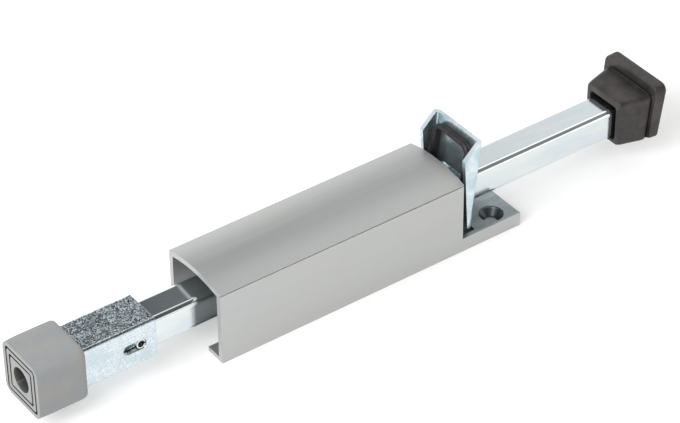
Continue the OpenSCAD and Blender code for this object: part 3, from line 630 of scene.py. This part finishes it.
def half_bow():
    """Half of the wire bow that leans on the lever, drawn out of a round face and still upright."""
    wire, half_w, top, bend, foot = 3.0, 10.6, 41.5, 4.0, 6.0
    wire_sides, bend_steps = 20, 8
    heel_x, leg_low = BOW_HEEL.x, BOW_HEEL.z
    deselect()
    bpy.ops.mesh.primitive_circle_add(vertices=wire_sides, radius=wire / 2 * MM, fill_type="NGON",
                                      location=(heel_x * MM, 0, top * MM),
                                      rotation=(math.radians(90), 0, 0))
    piece = apply_place(bpy.context.object)
    bpy.ops.object.mode_set(mode="EDIT")
    bpy.ops.mesh.select_all(action="SELECT")
    pull((0, half_w - bend, 0))
    bpy.ops.mesh.spin(steps=bend_steps, angle=math.radians(90), axis=(1, 0, 0),
                      center=(heel_x * MM, (half_w - bend) * MM, (top - bend) * MM))
    pull((0, 0, leg_low - top + bend))
    bpy.ops.mesh.spin(steps=bend_steps, angle=math.radians(-90), axis=(0, 1, 0),
                      center=((heel_x - bend) * MM, half_w * MM, leg_low * MM))
    pull((-foot, 0, 0))
    bpy.ops.object.mode_set(mode="OBJECT")
    return piece


def wire_bow():
    """The wire bow: its half is opened in the middle, mirrored, and leans on the lever."""
    merge = 0.005
    piece = half_bow()
    bpy.ops.object.mode_set(mode="EDIT")
    bpy.ops.mesh.select_all(action="SELECT")
    bpy.ops.mesh.remove_doubles(threshold=merge * MM)
    select_faces(piece, lambda c, n: abs(c.y) < NEAR * MM and abs(n.y) > TOWARDS)
    bpy.ops.mesh.delete(type="FACE")
    bpy.ops.object.mode_set(mode="OBJECT")
    apply_modifier(piece, "MIRROR", use_axis=(False, True, False), use_mirror_merge=True,
                   merge_threshold=merge * MM)
    heel = PIVOT + Matrix.Rotation(LEAN, 3, "Y") @ BOW_HEEL
    piece.rotation_euler = (0, LEAN + BOW_LEAN, 0)
    piece.location = (heel - Matrix.Rotation(LEAN + BOW_LEAN, 3, "Y") @ BOW_HEEL) * MM
    apply_place(piece)
    bpy.ops.object.mode_set(mode="EDIT")
    bpy.ops.mesh.select_all(action="SELECT")
    bpy.ops.mesh.normals_make_consistent(inside=False)
    bpy.ops.object.mode_set(mode="OBJECT")
    bpy.ops.object.shade_smooth_by_angle(angle=WIRE_SMOOTH)
    return piece


# Pieces that take their shape from a solid: its node, the new name, body, slot, material, width of
# the eased edges in mm, and the cuts
middle = (("Y", 0), ("Z", AXIS_H))
eased_pieces = (
    ("housing", "extruded_housing", "housing", "aluminium", aluminium, 0.26,
     (("Y", 0), ("X", PLATE_SCREWS_X), ("X", GUIDE_SCREWS_X))),
    ("base_plate", "screw_plate", "housing", "plate_zinc", plate_zinc, 0.25,
     (("Y", 0), ("X", 0), ("X", PEGS_X), ("X", PLATE_SCREWS_X))),
    ("lever", "release_lever", "lever", "zinc", zinc_sheet, 0.28, (("Y", 0),)),
    ("foot_sleeve", "spangled_sleeve", "foot", "galvanised", galvanised, 0.2, middle),
    ("cross_pin", "slotted_pin", "plunger", "zinc", zinc_small, 0.15, (("Z", AXIS_H),)),
    ("pad_washer", "foot_washer", "foot", "zinc", zinc_small, 0.12, middle),
    ("pad_screw", "foot_screw", "foot", "zinc", zinc_small, 0.15, middle))
for node, name, body, slot, material, edge, cuts in eased_pieces:
    put(eased_copy(node, edge, cuts=cuts), name, body, slot, material, node)
put(rubber_foot(), "rubber_foot", "foot", "grey_rubber", grey_rubber, "foot_pad")
put(step_cap(), "rubber_step_cap", "plunger", "black_rubber", black_rubber, "step_cap")
put(eased_copy("bumper_ring", width=0.4, segments=3, cuts=middle), "bumper_cushion", "plunger",
    "black_rubber", black_rubber, "bumper_ring")

return_coil = coil(x0=-106.8, x1=-36.75, radius=11.05, wire=1.2, turns=7)
put(return_coil, "return_coil", "housing", "spring_steel", spring_finish, "return_spring")
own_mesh(return_coil)

buffer_coil = coil(x0=-207.95, x1=-180.4, radius=4.85, wire=1.1, turns=7)
put(buffer_coil, "buffer_coil", "plunger", "spring_steel", spring_finish, "buffer_spring")
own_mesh(buffer_coil)

lever_bow = wire_bow()
put(lever_bow, "wire_bow", None, "black_wire", bow_finish, "lever_spring")
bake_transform(lever_bow)

# Solids that keep their shape and take the finished materials
kept_solids = ((zinc_tube, ("plunger_tube",)),
               (zinc_small, ("plate_screws", "guide_screws", "collar_pin", "pad_nut")),
               (nylon, ("lower_guide", "upper_guide", "cap_plug", "spring_seat")),
               (plate_zinc, ("spring_collar",)))
for material, names in kept_solids:
    for name in names:
        nodes[name].data.materials.clear()
        nodes[name].data.materials.append(material)


# Floor, light and camera

def studio_floor():
    """White studio floor: it takes shadows, and where it is seen or mirrored it is plain white."""
    below_part, side, glow = 0.02, 6000, 0.32
    deselect()
    bpy.ops.mesh.primitive_plane_add(size=side * MM, location=(0, 0, -below_part * MM))
    floor = bpy.context.object
    floor.name = "floor"
    material, tree = new_material("white studio floor")
    rays = add(tree, "LightPath").outputs
    seen = add(tree, "Math", (rays["Is Camera Ray"], rays["Is Glossy Ray"]), operation="MAXIMUM")
    seen = add(tree, "Math", (seen, rays["Is Transmission Ray"]), operation="MAXIMUM")
    lit = add(tree, "BsdfDiffuse", {"Color": colour("#efefef")})
    bright = add(tree, "Emission", {"Color": colour("#ffffff"), "Strength": glow})
    both = add(tree, "AddShader", (lit, bright))
    shader = add(tree, "MixShader", (seen, lit, both))
    add(tree, "OutputMaterial", {"Surface": shader})
    floor.data.materials.append(material)
    return floor


def studio_room():
    """The room: white walls and a darker ceiling over the front, with a strip of light between.

    The part of it that the foot end mirrors is dark between a low window and the strip, so that
    flat faces go dark there and rounded edges shine. It is the same for every kind of ray. Rise
    runs from 0, low behind the part, to 1, high over the front. Across tells how far a direction
    runs up the plunger.
    """
    strip_glow, window_glow, towards_front = 0.9, 0.9, (0, -0.5, 0.866)
    world = bpy.data.worlds.new("studio")
    bpy.context.scene.world = world
    world.use_nodes = True
    tree = world.node_tree
    tree.nodes.clear()
    direction = add(tree, "TexCoord").outputs["Generated"]
    across = add(tree, "SeparateXYZ", (direction,)).outputs["X"]
    overhead = add(tree, "VectorMath", (direction, towards_front), operation="DOT_PRODUCT")
    rise = add(tree, "MapRange", (overhead, -0.5, 1, 0, 1))
    # the walls from low to high, first where they are plain, then where they are dark in the middle
    plain_part = add(tree, "ValToRGB", (rise,), (
        (0.0, "#f4f5f6"), (0.3, "#f8f9fa"), (0.48, "#fcfdfe"), (0.56, "#ffffff"), (0.76, "#ffffff"),
        (0.85, "#96928e"), (1.0, "#96928e")))
    dark_part = add(tree, "ValToRGB", (rise,), (
        (0.0, "#ffffff"), (0.33, "#ffffff"), (0.41, "#303437"), (0.65, "#2c3033"),
        (0.73, "#eceeef"), (0.79, "#ffffff"), (0.86, "#4c4e50"), (1.0, "#4c4e50")))
    dark_share = add(tree, "ValToRGB", (across,), (
        (0.12, "#000000"), (0.24, "#ffffff"), (0.388, "#ffffff"), (0.4, "#dcdcdc"),
        (0.41, "#dcdcdc"), (0.425, "#f8f8f8"), (0.455, "#f2f2f2"), (0.5, "#000000")))
    walls = add(tree, "Mix", (dark_share, plain_part, dark_part), data_type="RGBA")
    # the strip, only where the tube and the housing mirror it
    strip = add(tree, "ValToRGB", (rise,), ((0.61, "#000000"), (0.65, "#ffffff"), (0.77, "#ffffff"),
                                            (0.83, "#000000")))
    reach = add(tree, "ValToRGB", (across,), (
        (0.33, "#000000"), (0.37, "#ffffff"), (0.41, "#ffffff"), (0.425, "#000000"),
        (0.48, "#000000"), (0.5, "#ffffff"), (0.6, "#ffffff"), (0.68, "#000000")))
    strip = add(tree, "Math", (strip, reach), operation="MULTIPLY")
    strength = add(tree, "Math", (strip, strip_glow, 1), operation="MULTIPLY_ADD")
    # the low window, which brightens the far side of the housing's arch
    window = add(tree, "MapRange", (across, 0.34, 0.42, 0, 1))
    window = add(tree, "Math", (dark_share, window), operation="MULTIPLY")
    low = add(tree, "MapRange", (rise, 0.24, 0.4, window_glow, 0))
    strength = add(tree, "Math", (window, low, strength), operation="MULTIPLY_ADD")
    room_light = add(tree, "Background", (walls, strength))
    add(tree, "OutputWorld", {"Surface": room_light})


def key_light():
    """A large soft lamp high over the foot end, which gives the soft shadow on the floor."""
    place, aim, side, power = Vector((-1000, -280, 850)), Vector((-60, 0, 20)), 800, 11
    lamp = bpy.data.lights.new("key light", "AREA")
    lamp.shape = "RECTANGLE"
    lamp.size, lamp.size_y = side * MM, side * MM
    lamp.energy = power
    holder = bpy.data.objects.new("key light", lamp)
    bpy.context.scene.collection.objects.link(holder)
    holder.location = place * MM
    holder.rotation_euler = (aim - place).to_track_quat("-Z", "Y").to_euler()


def photo_camera():
    """The camera, fitted to straight edges of the photo; its turn is in degrees."""
    camera_data = bpy.data.cameras.new("camera")
    camera_data.sensor_width = 36
    camera_data.lens = 155.716
    camera_data.clip_end = 20
    camera = bpy.data.objects.new("camera", camera_data)
    bpy.context.scene.collection.objects.link(camera)
    camera.location = (-0.61984, -0.76722, 0.75886)
    camera.rotation_euler = tuple(math.radians(a) for a in (52.426192, 0.453085, -35.988111))
    bpy.context.scene.camera = camera


studio_floor()
studio_room()
key_light()
photo_camera()
bpy.context.scene.view_settings.view_transform = "Standard"
